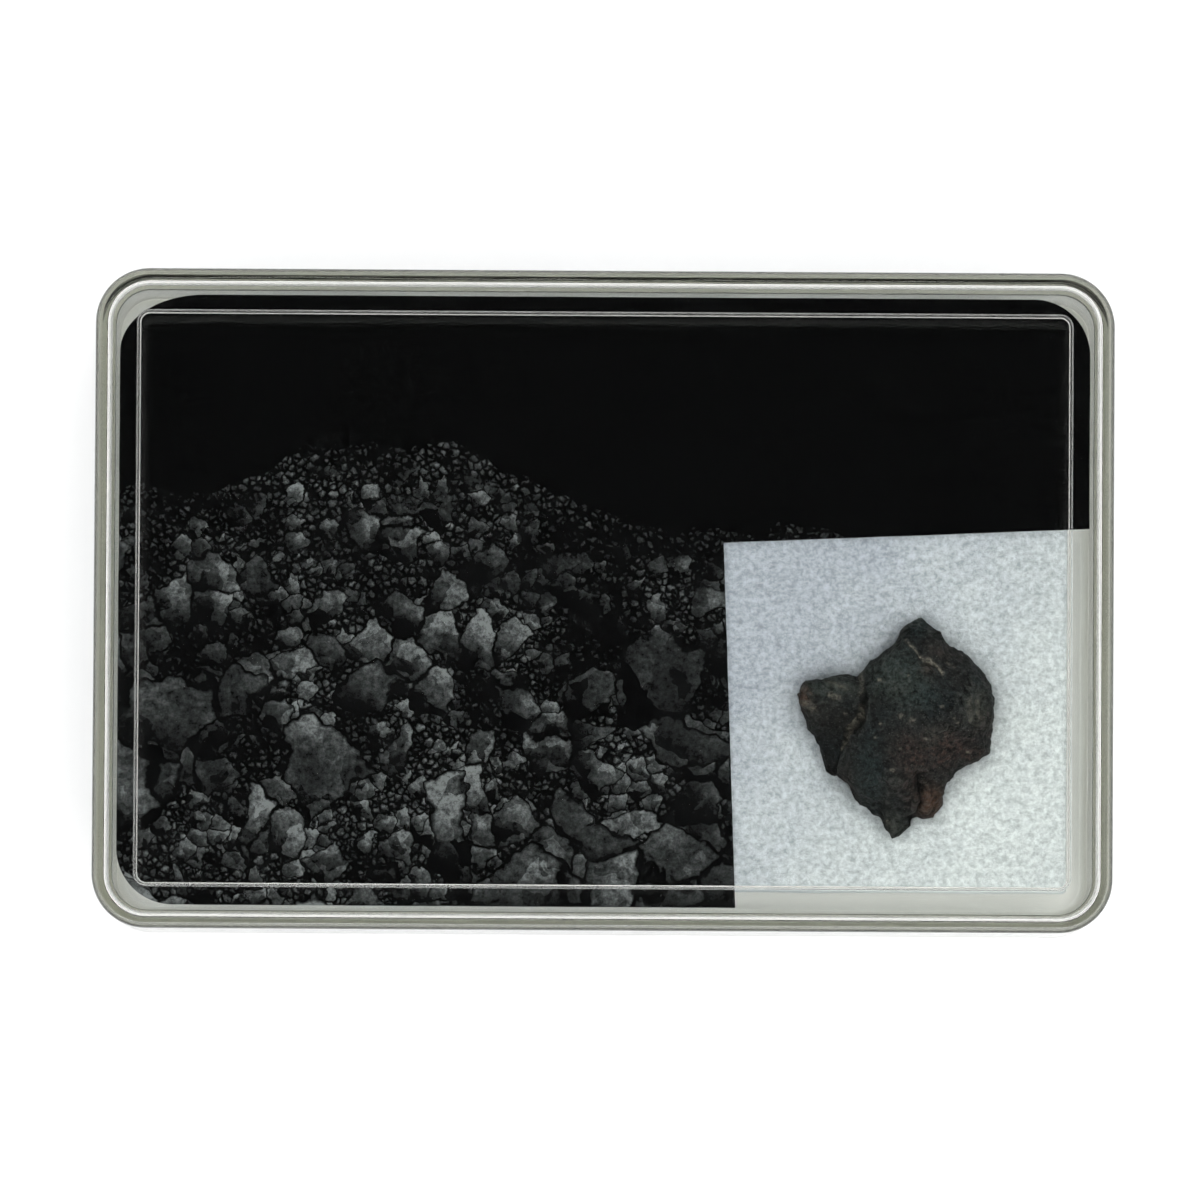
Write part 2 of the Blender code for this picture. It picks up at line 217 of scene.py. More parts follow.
# Pale scratches, edges pale from wear, and painted highlights along lit ridges such as the crack's
# edge: path, width and amount, in mm
PALE_AND_LIT_LINES = (
    (((0.6, 7.9), (1.2, 7.3), (1.9, 6.8)), 0.11, 0.7),
    (((1.0, 7.8), (1.7, 7.2)), 0.09, 0.5),
    (((2.0, 6.5), (2.9, 6.2), (3.5, 5.7), (4.1, 5.0)), 0.12, 1.0),
    (((2.3, 6.1), (3.1, 5.8)), 0.10, 0.6),
    (((4.4, 6.0), (5.1, 5.5)), 0.10, 0.3),
    (((-3.2, 5.5), (-3.15, 4.2), (-3.3, 2.9)), 0.16, 0.50),
    (((-3.2, 2.0), (-3.3, 0.9), (-4.3, -0.1), (-4.9, -1.9)), 0.09, 0.60),
    (((-6.3, 4.3), (-5.2, 3.9), (-4.6, 3.6)), 0.20, 0.35),
    (((-5.9, 2.8), (-5.2, 2.6)), 0.26, 0.45),
    (((-7.9, 2.2), (-7.4, 1.7)), 0.30, 0.4),
    (((6.2, 2.6), (6.4, 0.9)), 0.18, 0.3),
    (((7.0, 2.4), (7.1, 1.0)), 0.18, 0.3),
)
FLECKS = (
    (-1.6, 4.2, 0.20), (0.3, 1.1, 0.26), (1.2, 0.6, 0.30), (3.9, 1.9, 0.15), (4.9, 0.9, 0.15),
    (-1.5, 0.4, 0.16), (-0.3, -3.7, 0.16), (5.2, 0.6, 0.12), (0.9, 4.6, 0.12), (-2.0, -0.9, 0.12),
    (2.4, -0.9, 0.12), (-4.6, 1.2, 0.14), (0.2, -1.8, 0.12), (6.4, -2.2, 0.14), (-0.8, -8.3, 0.16),
)
FLECK_STRENGTH = 0.65
STAINS_AND_PAINTED_LIGHT = {"rust": RUST, "tan": TAN, "cool": COOL, "lighter": OLIVE_AND_LIT_SPOTS, "darker": PAINTED_SHADE_SPOTS}

# What light the plastic takes up on its way through
PLASTIC_TINT = (0.721, 0.727, 0.672, 1)
PLASTIC_DENSITY = 122.0

# Colours of the stone, and of the painted shade and highlights on it
CHARCOAL = (0.0088, 0.0114, 0.0122)
BROWN_GREY = (0.0135, 0.0136, 0.0130)
BLUE_GREEN = (0.0190, 0.0310, 0.0315)
OLIVE_LIT_GREY = (0.040, 0.045, 0.038)
RUST_BROWN = (0.033, 0.0175, 0.0140)
TAN_BROWN = (0.056, 0.029, 0.018)
PAINTED_SHADE_BLACK = (0.004, 0.0045, 0.0043)
GRAIN_AND_HIGHLIGHT_GREY = (0.075, 0.080, 0.074)
CREAM_AND_HIGHLIGHT = (0.23, 0.215, 0.175)

# Camera: straight over the case, tipped a little towards its lower edge
CAMERA_DISTANCE = 1100 * MM
CAMERA_TILT = math.radians(2.8)
CAMERA_ROLL = math.radians(0.35)
FRAME_WIDTH = 105.8 * MM
SENSOR = 36.0
CLIP_START = 10 * MM

# Light: soft and white from all round, stronger from high on the right, darker from the lower
# right and towards the horizon, and dark straight overhead
SOFT_LIGHT = 1.48
KEY_SIDE = (0.36, -0.28, 0.89)
KEY_LIGHT = 2.40
KEY_TIGHTNESS = 4.0
SHADE_SIDE = (0.82, -0.57, 0.0)
SHADE_START = 0.35
SHADE_END = 0.90
SHADE_LIGHT = 0.35
HORIZON_START = 0.25
HORIZON_END = 0.70
HORIZON_LIGHT = 0.35
DARK_PATCH = math.radians(10)
DARK_PATCH_EDGE = math.radians(20)
DARK_PATCH_LIGHT = 0.004
FLOOR_SIZE = 3.0
FLOOR_GAP = 0.05 * MM
LIGHT_BOUNCES = 28


def ride(piece, slot, *nodes):
    """The piece stands for these nodes and moves with the body; slot is not used."""
    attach(piece, "root")
    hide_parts(*nodes)
    return piece


def new_object(name, bm, mat, sharp_angle=math.radians(40)):
    """Closes the bmesh into a named object with its faces pointing out."""
    bmesh.ops.recalc_face_normals(bm, faces=bm.faces)
    mesh = bpy.data.meshes.new(name)
    bm.to_mesh(mesh)
    bm.free()
    mesh.materials.append(mat)
    mesh.shade_smooth()
    mesh.set_sharp_from_angle(angle=sharp_angle)
    obj = bpy.data.objects.new(name, mesh)
    bpy.context.scene.collection.objects.link(obj)
    return obj


def solid_from_rings(name, rings, mat):
    """A closed solid through rings of equal length, with a flat cap on the first and last."""
    bm = bmesh.new()
    loops = [[bm.verts.new(point) for point in ring] for ring in rings]
    count = len(rings[0])
    for lower, upper in zip(loops, loops[1:]):
        for i in range(count):
            j = (i + 1) % count
            bm.faces.new((lower[i], lower[j], upper[j], upper[i]))
    bm.faces.new(loops[0])
    bm.faces.new(loops[-1])
    return new_object(name, bm, mat)


def arc(centre, radius_x, radius_y, start, steps):
    """A quarter turn, counter-clockwise from the start angle."""
    points = []
    for i in range(steps + 1):
        angle = start + math.pi / 2 * i / steps
        x = centre[0] + radius_x * math.cos(angle)
        y = centre[1] + radius_y * math.sin(angle)
        points.append((x, y))
    return points


def case_ring(inset, z, radius=None):
    """The case's outline moved inwards by inset, at height z."""
    if radius is None:
        radius = max(CASE_CORNER - inset, TINY_ROUND)
    x = CASE_LENGTH / 2 - inset - radius
    y = CASE_WIDTH / 2 - inset - radius
    ring = []
    for quarter, corner in enumerate(((x, y), (-x, y), (-x, -y), (x, -y))):
        for px, py in arc(corner, radius, radius, quarter * math.pi / 2, CORNER_STEPS):
            ring.append((px, py, z))
    return ring


def rounded(corners, steps=5):
    """A profile through corners of ((inset, height), rounding), with the corners rounded."""
    smooth = []
    count = len(corners)
    for i, (point, reach) in enumerate(corners):
        if i in (0, count - 1) or reach == 0:
            smooth.append(point)
            continue
        here = Vector(point)
        before = Vector(corners[i - 1][0]) - here
        after = Vector(corners[i + 1][0]) - here
        start = here + before.normalized() * min(reach, before.length * 0.49)
        end = here + after.normalized() * min(reach, after.length * 0.49)
        smooth.append(tuple(start + before.normalized() * min(SUPPORT, before.length * 0.01)))
        for step in range(steps + 1):
            share = step / steps
            curve = start * (1 - share) ** 2 + here * 2 * share * (1 - share) + end * share**2
            smooth.append(tuple(curve))
        smooth.append(tuple(end + after.normalized() * min(SUPPORT, after.length * 0.01)))
    return smooth


def case_base(mat):
    """Floor, walls, shoulder and the thin lip that the lid slides over."""
    corners = (
        ((EDGE_ROUND * 3, 0.0), 0.0),
        ((0.0, 0.0), EDGE_ROUND),
        ((0.0, SEAM_HEIGHT), TINY_ROUND),
        ((LIP_OUTSIDE, SEAM_HEIGHT), TINY_ROUND),
        ((LIP_OUTSIDE, LIP_TOP), TINY_ROUND * 1.5),
        ((LIP_INSIDE, LIP_TOP), TINY_ROUND * 1.5),
        ((LIP_INSIDE, FLOOR_THICKNESS), FLOOR_FILLET),
        ((LIP_INSIDE + FLOOR_FILLET * 3, FLOOR_THICKNESS), 0.0),
    )
    rings = [case_ring(inset, z) for inset, z in rounded(corners)]
    obj = solid_from_rings("case_base_shell", rings, mat)
    return ride(obj, "clear_plastic", "case_base")


def case_lid(mat):
    """Flat top with a raised centre panel, and a skirt that ends just over the base."""
    foot = SEAM_HEIGHT + SEAM_GAP
    panel_out = PANEL_INSET - PANEL_SLOPE / 2
    panel_in = PANEL_INSET + PANEL_SLOPE / 2
    middle = PANEL_INSET * 2
    corners = (
        ((middle, LID_UNDERSIDE + PANEL_RISE), 0.0),
        ((panel_in + PANEL_SHIFT, LID_UNDERSIDE + PANEL_RISE), PANEL_EDGE),
        ((panel_out + PANEL_SHIFT, LID_UNDERSIDE), PANEL_EDGE),
        ((LID_WALL, LID_UNDERSIDE), INSIDE_FILLET),
        ((LID_WALL, foot), TINY_ROUND),
        ((0.0, foot), TINY_ROUND),
        ((0.0, RIM_TOP), EDGE_ROUND),
        ((panel_out, RIM_TOP), PANEL_EDGE),
        ((panel_in, CASE_HEIGHT), PANEL_EDGE),
        ((middle, CASE_HEIGHT), 0.0),
    )
    rings = []
    for inset, z in rounded(corners):
        near_panel = panel_out - TINY_ROUND * 4 < inset
        radius = max(PANEL_CORNER + PANEL_INSET - inset, TINY_ROUND) if near_panel else None
        rings.append(case_ring(inset, z, radius))
    obj = solid_from_rings("case_lid_shell", rings, mat)
    return ride(obj, "clear_plastic", "case_lid")


def card_outline():
    """The card's edge: three round corners, and a window open to the right and bottom."""
    x = CARD_HIGH.x
    top = CARD_HIGH.y
    foot = CARD_LOW.y
    r = CARD_CORNER
    cut = CARD_CUT_CORNER
    outline = [(WINDOW_FOOT_X, foot), WINDOW_CORNER, (x, WINDOW_RIGHT_Y)]
    outline += arc((x - r, top - r), r, r, 0.0, CORNER_STEPS)
    outline += arc((cut - x, top - r), cut, r, math.pi / 2, CORNER_STEPS)
    outline += arc((r - x, foot + r), r, r, math.pi, CORNER_STEPS)
    return outline


def label_card(mat):
    """The thin printed card lying on the foam."""
    heights = (FOAM_TOP + CARD_LIFT, CARD_HIGH.z)
    rings = [[(x, y, z) for x, y in card_outline()] for z in heights]
    obj = solid_from_rings("label_card_print", rings, mat)
    return ride(obj, "printed_card", "label_card")


def outline_radius(angles):
    """Distance from the stone's axis to its outline, in mm, for an array of angles."""
    starts = OUTLINE
    ends = np.roll(OUTLINE, -1, axis=0)
    edges = ends - starts
    radii = np.zeros_like(angles)
    dx, dy = np.cos(angles), np.sin(angles)
    for (ax, ay), (ex, ey) in zip(starts, edges):
        turn = dx * ey - dy * ex
        turn = np.where(np.abs(turn) < 1e-9, 1e-9, turn)
        reach = (ax * ey - ay * ex) / turn
        share = (ax * dy - ay * dx) / turn
        hit = (reach > 0) & (share >= -1e-6) & (share <= 1 + 1e-6)
        radii = np.where(hit, np.maximum(radii, reach), radii)
    return radii


def soft_lowest(values):
    """The lowest of several arrays, with the meeting edges slightly rounded."""
    stack = np.stack(values)
    low = stack.min(axis=0)
    return low - FACET_BLEND * np.log(np.exp((low - stack) / FACET_BLEND).sum(axis=0))


def face_height(face, x, y):
    """Height of a broken face over the stone's widest section."""
    cx, cy, height, rise_x, rise_y = face
    return height + rise_x * (x - cx) + rise_y * (y - cy)


def path_distance(path, x, y):
    """Distance to a path; positive on its left side."""
    best = np.full_like(x, 1e9)
    for (ax, ay), (bx, by) in zip(path, path[1:]):
        ex, ey = bx - ax, by - ay
        share = np.clip(((x - ax) * ex + (y - ay) * ey) / (ex * ex + ey * ey), 0, 1)
        away = np.hypot(x - ax - share * ex, y - ay - share * ey)
        side = np.where(ex * (y - ay) - ey * (x - ax) > 0, 1.0, -1.0)
        best = np.where(away < np.abs(best), side * away, best)
    return best


def smooth_step(value):
    """0 below 0, 1 above 1, and a smooth rise between."""
    value = np.clip(value, 0, 1)
    return value * value * (3 - 2 * value)


def flank(angle, radius, share, slope):
    """The stone's steep side: height gained from the rim inwards."""
    depth = radius * np.maximum(1 - share, 0.0)
    steepness = slope + SLOPE_CHANGE * np.sin(3 * angle + 0.6) * np.cos(2 * angle)
    return steepness * np.sqrt(depth * depth + 2 * depth * STONE_RIM_ROUND)


def stone_top(x, y, side):
    """Upper surface of the stone over its widest section."""
    core = soft_lowest([face_height(face, x, y) for face in CORE_FACES])
    lobe = soft_lowest([face_height(face, x, y) for face in LOBE_FACES])
    left = smooth_step(0.5 - path_distance(CRACK, x, y) / (2 * CRACK_SOFTNESS))
    height = core + (lobe - core) * left
    for path, depth, width in CLEFTS:
        height -= depth * np.exp(-((path_distance(path, x, y) / width) ** 2))
    for cx, cy, radius, rise in MOUNDS:
        height += rise * np.exp(-((x - cx) ** 2 + (y - cy) ** 2) / radius**2)
    return soft_lowest([np.maximum(height, LEAST_HEIGHT), side])


def stone_under(x, y, side):
    """Depth of the underside under the widest section."""
    depth = soft_lowest([face_height(face, x, y) for face in UNDER_FACES])
    return soft_lowest([np.maximum(depth, LEAST_HEIGHT), side])


def relief(point):
    """Height of the broken surface over its smooth form, in mm, at a point of the stone."""
    height = 0.0
    for size, depth in CHIPS:
        place = point / size
        scoops = []
        for distance, centre in zip(*noise.voronoi(place)):
            tilt = noise.cell_vector(centre * CHIP_SEED) - Vector((0.5, 0.5, 0.5))
            scoops.append(distance * distance + CHIP_TILT * tilt.dot(place - centre))
        height += depth * (min(scoops) - CHIP_LEVEL)
    for wavelength, depth in ROUGHNESS_LAYERS:
        height += noise.noise(point / wavelength) * depth
    return height


def sphere_grid(bm, count):
    """A cube of square grids pushed out to the unit sphere, with more points on top."""
    bmesh.ops.create_cube(bm, size=2.0)
    bmesh.ops.subdivide_edges(bm, edges=bm.edges[:], cuts=count - 1, use_grid_fill=True)
    for vert in bm.verts:
        way = Vector([math.tan(value * math.pi / 4) for value in vert.co]).normalized()
        polar = math.acos(max(-1.0, min(1.0, way.z)))
        crowded = math.pi * (polar / math.pi) ** TOP_CROWDING
        flat = math.sin(crowded) / max(math.sin(polar), 1e-6)
        vert.co = (way.x * flat, way.y * flat, math.cos(crowded))


def blots(spots, x, y):
    """Strength of soft round spots at each point."""
    total = np.zeros_like(x)
    for cx, cy, reach_x, reach_y, amount in spots:
        spot = np.exp(-(((x - cx) / reach_x) ** 2) - ((y - cy) / reach_y) ** 2)
        total = np.maximum(total, amount * spot)
    return total


def pale_and_lit_marks(x, y, chance):
    """Strength of the pale scratches, edges pale from wear, painted ridge highlights and grains at
    each point.
    """
    marks = np.zeros_like(x)
    for path, width, amount in PALE_AND_LIT_LINES:
        line = np.exp(-((path_distance(path, x, y) / width) ** 2))
        marks = np.maximum(marks, amount * line)
    for cx, cy, size in FLECKS:
        away = np.hypot(x - cx, (y - cy) * (1.3 + chance)) / (size * (1 + 1.2 * chance))
        marks = np.maximum(marks, FLECK_STRENGTH * np.exp(-(away**2)))
    return marks * np.clip(0.75 + chance, 0.0, 1.3)


def hollows(mesh, rounds=6, depth=0.05):
    """How far each point lies under (+) or over (-) its surroundings, as a share of depth."""
    count = len(mesh.vertices)
    points = np.empty(count * 3)
    mesh.vertices.foreach_get("co", points)
    points = points.reshape(-1, 3)
    edges = np.empty(len(mesh.edges) * 2, dtype=np.int64)
    mesh.edges.foreach_get("vertices", edges)
    first, second = edges.reshape(-1, 2).T
    links = np.bincount(first, minlength=count) + np.bincount(second, minlength=count)
    even = points.copy()
    for _ in range(rounds):
        total = np.zeros_like(even)
        for axis in range(3):
            total[:, axis] += np.bincount(first, even[second, axis], count)
            total[:, axis] += np.bincount(second, even[first, axis], count)
        even = total / links[:, None]
    normals = np.empty(count * 3)
    mesh.vertices.foreach_get("normal", normals)
    return ((even - points) * normals.reshape(-1, 3)).sum(axis=1) / (depth * MM)


def paint(mesh, name, values):
    """Stores one value per point under a name that the material reads."""
    layer = mesh.attributes.new(name, "FLOAT", "POINT")
    layer.data.foreach_set("value", np.ascontiguousarray(values, dtype=np.float32))


def meteorite(mat):
    """The broken stone, at the detail that the photograph shows."""
    bm = bmesh.new()
    sphere_grid(bm, STONE_GRID)
    directions = np.array([vert.co for vert in bm.verts])
    angle = np.arctan2(directions[:, 1], directions[:, 0])
    share = np.hypot(directions[:, 0], directions[:, 1])
    radius = outline_radius(angle)
    x = radius * share * np.cos(angle)
    y = radius * share * np.sin(angle)
    top = stone_top(x, y, flank(angle, radius, share, STONE_TOP_SLOPE))
    under = stone_under(x, y, flank(angle, radius, share, STONE_UNDER_SLOPE))
    wave = 0.6 * np.sin(2 * angle + 1.0) + 0.4 * np.sin(5 * angle)
    z = np.where(directions[:, 2] >= 0, top, -under) + RIM_WAVE * wave * share**4
    for vert, place in zip(bm.verts, np.column_stack((x, y, z))):
        vert.co = place
    bm.normal_update()
    heights = [relief(vert.co) for vert in bm.verts]
    for vert, height in zip(bm.verts, heights):
        vert.co = (vert.co + vert.normal * height) * MM + STONE_PLACE
    chance = np.array([noise.noise(Vector((a, b, 0.0)) * 3.1) for a, b in zip(x, y)])
    drift = np.array([noise.noise(Vector((a, b, 5.0)) * 0.8) for a, b in zip(x, y)])
    obj = new_object("chondrite_stone", bm, mat, math.pi)
    upper = directions[:, 2] > -0.3
    bent_x = x + 0.5 * chance
    bent_y = y + 0.7 * drift
    for name, spots in STAINS_AND_PAINTED_LIGHT.items():
        paint(obj.data, name, blots(spots, bent_x, bent_y) * upper)
    # Pale marks: scratches, wear and grains, with painted highlights along lit ridges
    paint(obj.data, "pale", pale_and_lit_marks(x + 0.08 * chance, y, chance) * upper)
    # A measure of hollows and ridges, which the material turns into painted shade in the hollows and
    # painted highlights on the ridges
    paint(obj.data, "hollow", hollows(obj.data))
    return ride(obj, "dark_stone", "meteorite")


def spaced(low, high, fine_low, fine_high):
    """Positions from low to high, closer together between fine_low and fine_high."""
    values = []
    position = low
    while position < high - FOAM_FINE:
        values.append(position)
        position += FOAM_FINE if fine_low <= position < fine_high else FOAM_COARSE
    values.append(high)
    return values


def foam_surface(x, y):
    """Height of the foam's top: rounded cut edges, a slight grain and the stone's dent."""
    edge = min(x - FOAM_LOW.x, FOAM_HIGH.x - x, y - FOAM_LOW.y, FOAM_HIGH.y - y)
    z = FOAM_TOP - FOAM_SINK
    if edge < FOAM_EDGE:
        z -= FOAM_EDGE * (1 - math.sqrt(max(1 - (1 - edge / FOAM_EDGE) ** 2, 0.0)))
    place = Vector((x, y, 0.0)) / MM
    z += noise.fractal(place / GRAIN_LENGTH, 1.0, 2.0, 3) * GRAIN_DEPTH
    z += noise.noise(place / SWELL_LENGTH) * SWELL_DEPTH
    return z


def foam_dent(points):
    """How far the stone presses the foam down at each point, in metres."""
    x = (points[:, 0] - STONE_PLACE.x) / MM
    y = (points[:, 1] - STONE_PLACE.y) / MM
    angle = np.arctan2(y, x)
    radius = outline_radius(angle)
    share = np.hypot(x, y) / radius
    away = np.maximum(share - 1, 0) * radius
    rim = FOAM_TOP / MM - STONE_PLACE.z / MM
    under = stone_under(x, y, flank(angle, radius, np.minimum(share, 1), STONE_UNDER_SLOPE))
    inside = np.maximum(under + rim + DENT_ROOM, 0.0)
    outside = DENT_RIM * np.exp(-away / DENT_REACH)
    return np.where(share < 1, np.maximum(inside, DENT_RIM), outside) * MM


def foam_pad(mat):
    """A block of soft white foam, finely grained and pressed in under the stone."""
    xs = spaced(FOAM_LOW.x, FOAM_HIGH.x, WINDOW_CORNER[0] - 2 * MM, FOAM_HIGH.x)
    ys = spaced(FOAM_LOW.y, FOAM_HIGH.y, FOAM_LOW.y - MM, WINDOW_RIGHT_Y + 2 * MM)
    points = np.array([(x, y, foam_surface(x, y)) for y in ys for x in xs])
    points[:, 2] -= foam_dent(points)
    points[:, 2] = np.maximum(points[:, 2], FOAM_LOW.z + FOAM_LEAST)
    bm = bmesh.new()
    verts = [bm.verts.new(point) for point in points]
    wide, deep = len(xs), len(ys)
    for row in range(deep - 1):
        for column in range(wide - 1):
            i = row * wide + column
            bm.faces.new((verts[i], verts[i + 1], verts[i + wide + 1], verts[i + wide]))
    border = [verts[i] for i in range(wide)]
    border += [verts[row * wide + wide - 1] for row in range(1, deep)]
    border += [verts[(deep - 1) * wide + i] for i in range(wide - 2, -1, -1)]
    border += [verts[row * wide] for row in range(deep - 2, 0, -1)]
    loop = border
    for z in (FOAM_TOP - FOAM_EDGE * 1.2, (FOAM_TOP + FOAM_LOW.z) / 2, FOAM_LOW.z):
        lower = [bm.verts.new((vert.co.x, vert.co.y, z)) for vert in loop]
        for i in range(len(loop)):
            j = (i + 1) % len(loop)
            bm.faces.new((loop[i], lower[i], lower[j], loop[j]))
        loop = lower
    bm.faces.new(loop)
    obj = new_object("foam_block", bm, mat, math.radians(50))
    return ride(obj, "white_foam", "foam_pad")


class Nodes:
    """Short calls that build one material's nodes."""

    def __init__(self, name):
        self.mat = bpy.data.materials.new(name)
        self.mat.use_nodes = True
        self.tree = self.mat.node_tree
        self.shader = self.tree.nodes["Principled BSDF"]
        self.output = self.tree.nodes["Material Output"]

    @classmethod
    def over(cls, tree):
        """The same calls for a node tree that exists already."""
        nodes = cls.__new__(cls)
        nodes.tree = tree
        return nodes

    def add(self, kind, inputs=(), **settings):
        """A node with its settings, and its inputs set or linked in order of (name, value)."""
        node = self.tree.nodes.new(kind)
        for key, value in settings.items():
            setattr(node, key, value)
        for key, value in dict(inputs).items():
            self.set(node, key, value)
        return node

    def set(self, node, key, value):
        """Links value to an input if it is a socket, or else sets the input to it."""
        socket = node.inputs[key]
        if isinstance(value, bpy.types.NodeSocket):
            self.tree.links.new(value, socket)
        else:
            socket.default_value = value

    def math(self, operation, a, b=0.0, c=0.0):
        return self.add("ShaderNodeMath", {0: a, 1: b, 2: c}, operation=operation).outputs[0]

    def vector(self, operation, a, b=(0.0, 0.0, 0.0)):
        node = self.add("ShaderNodeVectorMath", operation=operation)
        self.set(node, 0, a)
        if operation == "SCALE":
            self.set(node, "Scale", b)
        else:
            self.set(node, 1, b)
        return node.outputs["Value" if operation in ("LENGTH", "DOT_PRODUCT") else "Vector"]

    def place(self):
        """The point in the object's own space, in mm."""
        coordinates = self.add("ShaderNodeTexCoord").outputs["Object"]
        return self.vector("SCALE", coordinates, 1 / MM)

    def painted(self, name):
        """The value stored on the mesh under this name."""
        return self.add("ShaderNodeAttribute", attribute_name=name).outputs["Fac"]

    def noise(self, place, scale, detail=2.0, roughness=0.5):
        inputs = {"Vector": place, "Scale": scale, "Detail": detail, "Roughness": roughness}
        return self.add("ShaderNodeTexNoise", inputs)

    def voronoi(self, place, scale, feature="F1", randomness=1.0):
        inputs = {"Vector": place, "Scale": scale, "Randomness": randomness}
        return self.add("ShaderNodeTexVoronoi", inputs, feature=feature)

    def ramp(self, value, *stops):
        """A colour ramp through stops of (position, colour or grey)."""
        node = self.add("ShaderNodeValToRGB", {"Fac": value})
        elements = node.color_ramp.elements
        while len(elements) < len(stops):
            elements.new(0.5)
        for element, (position, colour) in zip(elements, stops):
            element.position = position
            grey = isinstance(colour, (int, float))
            element.color = (colour, colour, colour, 1) if grey else (*colour, 1)
        return node.outputs["Color"]

    def mix(self, factor, a, b, blend="MIX"):
        """Two colours mixed; grey numbers count as colours."""
        node = self.add("ShaderNodeMix", data_type="RGBA", blend_type=blend)
        self.set(node, 0, factor)
        for key, value in ((6, a), (7, b)):
            if isinstance(value, (int, float)):
                value = (value, value, value, 1.0)
            elif isinstance(value, tuple) and len(value) == 3:
                value = (*value, 1.0)
            self.set(node, key, value)
        return node.outputs[2]

    def fall(self, value, start, end, least):
        """1 up to start and least from end on, with a smooth fall between."""
        inputs = {"Value": value, "From Min": start, "From Max": end, "To Min": 1.0, "To Max": least}
        node = self.add("ShaderNodeMapRange", inputs, interpolation_type="SMOOTHSTEP")
        return node.outputs["Result"]

    def bump(self, height, distance, strength=1.0, normal=None):
        inputs = {"Height": height, "Distance": distance, "Strength": strength}
        if normal is not None:
            inputs["Normal"] = normal
        return self.add("ShaderNodeBump", inputs).outputs["Normal"]

    def finish(self, **inputs):
        """Sets the Principled shader's inputs, with _ for each space in a name."""
        for key, value in inputs.items():
            self.set(self.shader, key.replace("_", " "), value)
        return self.mat


def clear_plastic():
    """Clear moulded styrene with faint flow waves and rubbed patches."""
    n = Nodes("clear_styrene")
    place = n.place()
    flow = n.noise(place, 0.08, 2.0).outputs["Fac"]
    rub = n.noise(n.vector("MULTIPLY", place, (0.6, 3.0, 1.0)), 1.6, 3.0).outputs["Fac"]
    facing = n.add("ShaderNodeNewGeometry").outputs["Normal"]
    up = n.add("ShaderNodeSeparateXYZ", {"Vector": facing}).outputs["Z"]
    upright = n.ramp(n.math("ABSOLUTE", up), (0.3, 1.0), (0.8, 0.0))
    level_finish = n.ramp(rub, (0.45, 0.01), (0.75, 0.06))
    upright_finish = n.ramp(rub, (0.35, 0.06), (0.65, 0.12))
    roughness = n.mix(upright, level_finish, upright_finish)
    normal = n.bump(flow, 0.0004, 0.25)
    absorb = n.add("ShaderNodeVolumeAbsorption")
    absorb.inputs["Color"].default_value = PLASTIC_TINT
    absorb.inputs["Density"].default_value = PLASTIC_DENSITY
    n.tree.links.new(absorb.outputs["Volume"], n.output.inputs["Volume"])
    return n.finish(
        Base_Color=(0.986, 0.989, 0.978, 1.0),
        Roughness=roughness,
        Normal=normal,
        Transmission_Weight=1.0,
        IOR=1.59,
    )


def foam_material():
    """Soft bluish-white foam with a fine fibrous grain, and painted shade that makes it darker and
    bluer towards the card's side.
    """
    n = Nodes("foam_white")
    place = n.place()
    grain = n.noise(place, 1.7, 4.0, 0.8).outputs["Fac"]
    fibres = n.noise(n.vector("MULTIPLY", place, (1.1, 4.0, 1.0)), 1.3, 4.0, 0.75).outputs["Fac"]
    mottle = n.noise(place, 0.22, 3.0, 0.6).outputs["Fac"]
    colour = n.ramp(grain, (0.36, (0.46, 0.51, 0.52)), (0.64, (0.86, 0.925, 0.93)))
    colour = n.mix(n.ramp(fibres, (0.52, 0.0), (0.70, 0.6)), colour, (0.90, 0.945, 0.945))
    # Painted shade: the foam is darker and bluer towards the upper left, the card's side, with a
    # mottled edge
    across = n.add("ShaderNodeSeparateXYZ", {"Vector": place})
    shade_slant = n.math("MULTIPLY_ADD", across.outputs["Y"], -0.8, across.outputs["X"])
    shade_slant = n.math("MULTIPLY_ADD", mottle, 22.0, shade_slant)
    grey = n.ramp(n.math("DIVIDE", shade_slant, 60.0), (0.50, 1.0), (1.0, 0.0))
    colour = n.mix(grey, colour, n.vector("MULTIPLY", colour, (0.64, 0.65, 0.72)))
    height = n.math("MULTIPLY_ADD", fibres, 0.6, grain)
    return n.finish(
        Base_Color=colour,
        Roughness=0.95,
        Normal=n.bump(height, 0.0004, 0.6),
        Specular_IOR_Level=0.15,
    )


def boulders(n, place, scale, seed, light):
    """Rocks of about 1 / scale mm, as drawn on the card: tone, distance to edge and chance."""
    shifted = n.vector("ADD", place, (seed, seed * 1.7, 0.0))
    bent = n.noise(shifted, scale * 1.7, 3.0).outputs["Color"]
    bent = n.vector("SCALE", n.vector("SUBTRACT", bent, (0.5, 0.5, 0.5)), 0.6 / scale)
    bent = n.vector("ADD", shifted, bent)
    cell = n.voronoi(bent, scale)
    edge = n.voronoi(bent, scale, "DISTANCE_TO_EDGE").outputs["Distance"]
    away = n.vector("SUBTRACT", bent, cell.outputs["Position"])
    side = n.math("MULTIPLY", n.vector("DOT_PRODUCT", away, light), scale)
    facet = n.voronoi(bent, scale * 2.3).outputs["Color"]
    facet = n.add("ShaderNodeSeparateColor", {"Color": facet}).outputs["Red"]
    chance = n.add("ShaderNodeSeparateColor", {"Color": cell.outputs["Color"]})
    tone = n.math("MULTIPLY_ADD", side, 0.75, 0.18)
    tone = n.math("MULTIPLY_ADD", facet, 0.55, tone)
    tone = n.math("MULTIPLY_ADD", chance.outputs["Green"], 0.30, tone)
    return tone, edge, chance.outputs["Red"]


